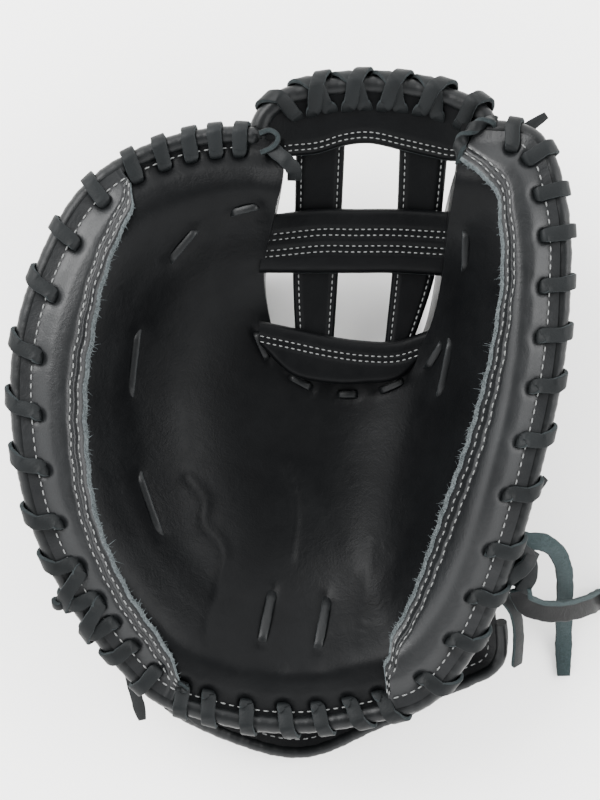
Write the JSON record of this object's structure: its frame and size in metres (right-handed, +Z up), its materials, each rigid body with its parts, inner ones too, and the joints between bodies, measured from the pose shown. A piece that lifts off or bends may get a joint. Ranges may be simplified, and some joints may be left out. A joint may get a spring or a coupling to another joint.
{
  "type": "softball catcher mitt",
  "caption": "Padded leather catcher mitt for softball, lying on its back with its palm up: laced rim, crossbar web, open wrist and two free wrist lace ends.",
  "frame": {"origin": "middle of the mitt on the surface that it lies on, measured without the wrist lace's two free ends", "axes": "+X towards the thumb side, +Y from the heel to the top of the web, +Z up out of the palm"},
  "size_m": [0.2872, 0.3274, 0.1104],
  "materials": {
    "palm_leather": "smooth black leather, half gloss from use",
    "panel_leather": "smooth black leather with a soft sheen and raw cut edges",
    "back_leather": "black leather, satin",
    "lace_leather": "rawhide lace, dull, with fuzzy edges",
    "lace_suede": "rough flesh side of the lace"
  },
  "bodies": {
    "root": {"palm_pad": "palm_leather", "back_finger_outer": "back_leather", "back_finger_inner": "back_leather", "back_thumb": "back_leather", "wrist_strap": "back_leather", "finger_rim_panel": "panel_leather", "thumb_rim_panel": "panel_leather", "rim_roll": "panel_leather", "rim_lace_finger": "lace_leather", "rim_lace_heel": "lace_leather", "rim_lace_thumb": "lace_leather", "palm_lace_finger_1": "lace_leather", "palm_lace_finger_2": "lace_leather", "palm_lace_finger_3": "lace_leather", "palm_lace_finger_4": "lace_leather", "palm_lace_heel_1": "lace_leather", "palm_lace_heel_2": "lace_leather", "palm_lace_thumb_1": "lace_leather", "palm_lace_thumb_2": "lace_leather", "base_lace_1": "lace_leather", "base_lace_2": "lace_leather", "base_lace_3": "lace_leather", "base_lace_4": "lace_leather", "base_lace_5": "lace_leather", "lace_tail_finger": "lace_leather", "lace_tail_heel": "lace_leather", "lace_tail_thumb": "lace_leather", "lace_tail_tip": "lace_leather", "lace_tail_wrist": "lace_suede", "finger_tip_lace": "lace_leather", "thumb_tip_lace": "lace_leather", "web_post_finger": "panel_leather", "web_post_thumb": "panel_leather", "web_crossbar": "panel_leather", "web_base": "panel_leather", "web_top": "panel_leather", "web_top_roll": "panel_leather", "web_top_lace": "lace_leather", "web_top_lace_over": "lace_leather", "wrist_binding": "panel_leather", "wrist_knot": "lace_leather", "rim_knot": "lace_leather", "wrist_lace_under": "lace_suede", "wrist_lace_over": "lace_leather"}
  },
  "joints": []
}
